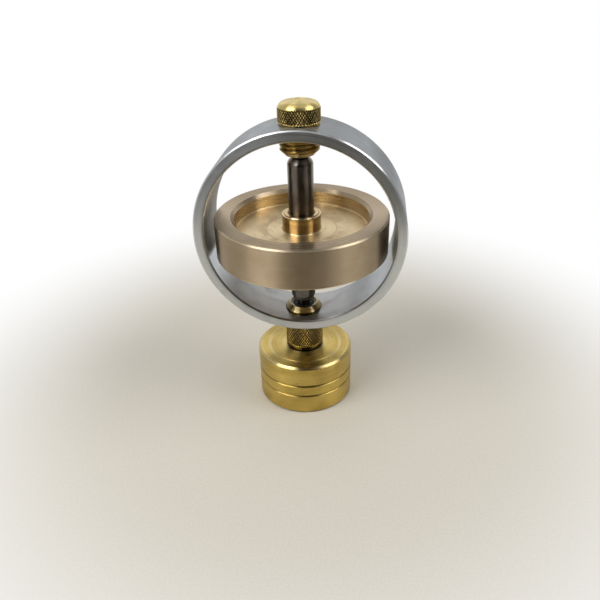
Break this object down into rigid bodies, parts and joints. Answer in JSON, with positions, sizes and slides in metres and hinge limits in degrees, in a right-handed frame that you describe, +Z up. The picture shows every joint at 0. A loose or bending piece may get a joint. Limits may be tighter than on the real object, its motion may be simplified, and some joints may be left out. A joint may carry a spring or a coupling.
{
  "type": "gyroscope on stand",
  "caption": "Demonstration gyroscope standing on a turned brass pedestal: a bronze flywheel on a steel axle spins in ball bearings held by knurled screws in an upright aluminium ring.",
  "frame": {"origin": "middle of the pedestal's foot, on the surface that it stands on", "axes": "+Z up along the spin axis, +Y along the bore of the ring frame, +X across the ring frame"},
  "size_m": [0.0635, 0.053, 0.0982],
  "materials": {
    "pedestal_brass": "fine turned, satin",
    "screw_brass": "turned crown, knurled band",
    "flywheel_bronze": "fine turned bronze, satin",
    "ring_aluminium": "brushed round the ring",
    "axle_steel": "dark, ground",
    "bearing_steel": "ground and polished",
    "cage_nylon": "moulded",
    "seal_rubber": "moulded"
  },
  "bodies": {
    "stand": {"pedestal": "pedestal_brass"},
    "lower_screw": {"lower_bearing_screw": "screw_brass", "lower_outer_race": "bearing_steel", "lower_front_seal": "seal_rubber", "lower_back_seal": "seal_rubber"},
    "frame": {"ring_frame": "ring_aluminium"},
    "rotor": {"flywheel": "flywheel_bronze", "axle": "axle_steel", "lower_inner_race": "bearing_steel"},
    "lower_cage": {"lower_ball_cage": "cage_nylon", "lower_ball_1": "bearing_steel", "lower_ball_2": "bearing_steel", "lower_ball_3": "bearing_steel", "lower_ball_4": "bearing_steel", "lower_ball_5": "bearing_steel", "lower_ball_6": "bearing_steel", "lower_ball_7": "bearing_steel"},
    "upper_bearing": {"upper_outer_race": "bearing_steel", "upper_front_seal": "seal_rubber", "upper_back_seal": "seal_rubber"},
    "upper_screw": {"upper_bearing_screw": "screw_brass"},
    "upper_inner": {"upper_inner_race": "bearing_steel"},
    "upper_cage": {"upper_ball_cage": "cage_nylon", "upper_ball_1": "bearing_steel", "upper_ball_2": "bearing_steel", "upper_ball_3": "bearing_steel", "upper_ball_4": "bearing_steel", "upper_ball_5": "bearing_steel", "upper_ball_6": "bearing_steel", "upper_ball_7": "bearing_steel"}
  },
  "joints": [
    {"name": "gyro_lift", "type": "slide", "parent": "stand", "child": "lower_screw", "axis": [0, 0, 1], "range_m": [0, 0.03]},
    {"name": "gyro_swivel", "type": "hinge", "parent": "lower_screw", "child": "frame", "pos_m": [0, 0, 0.01717], "axis": [0, 0, 1], "continuous": true},
    {"name": "rotor_spin", "type": "hinge", "parent": "frame", "child": "rotor", "pos_m": [0, 0, 0.05894], "axis": [0, 0, 1], "continuous": true},
    {"name": "lower_cage_roll", "type": "hinge", "parent": "frame", "child": "lower_cage", "pos_m": [0, 0, 0.03182], "axis": [0, 0, 1], "continuous": true},
    {"name": "upper_screw_travel", "type": "slide", "parent": "frame", "child": "upper_bearing", "axis": [0, 0, 1], "range_m": [0, 0.005]},
    {"name": "upper_screw_turn", "type": "hinge", "parent": "upper_bearing", "child": "upper_screw", "pos_m": [0, 0, 0.09227], "axis": [0, 0, 1], "range_deg": [0, 1440]},
    {"name": "upper_inner_spin", "type": "hinge", "parent": "upper_bearing", "child": "upper_inner", "pos_m": [0, 0, 0.08607], "axis": [0, 0, 1], "continuous": true},
    {"name": "upper_cage_roll", "type": "hinge", "parent": "upper_bearing", "child": "upper_cage", "pos_m": [0, 0, 0.08607], "axis": [0, 0, 1], "continuous": true}
  ],
  "couplings": [
    {"joint": "lower_cage_roll", "follows": "rotor_spin", "ratio": 0.35564},
    {"joint": "upper_inner_spin", "follows": "rotor_spin", "ratio": 1},
    {"joint": "upper_cage_roll", "follows": "rotor_spin", "ratio": 0.35564},
    {"joint": "upper_screw_travel", "follows": "upper_screw_turn", "m_per_rad": 0.00019894}
  ]
}
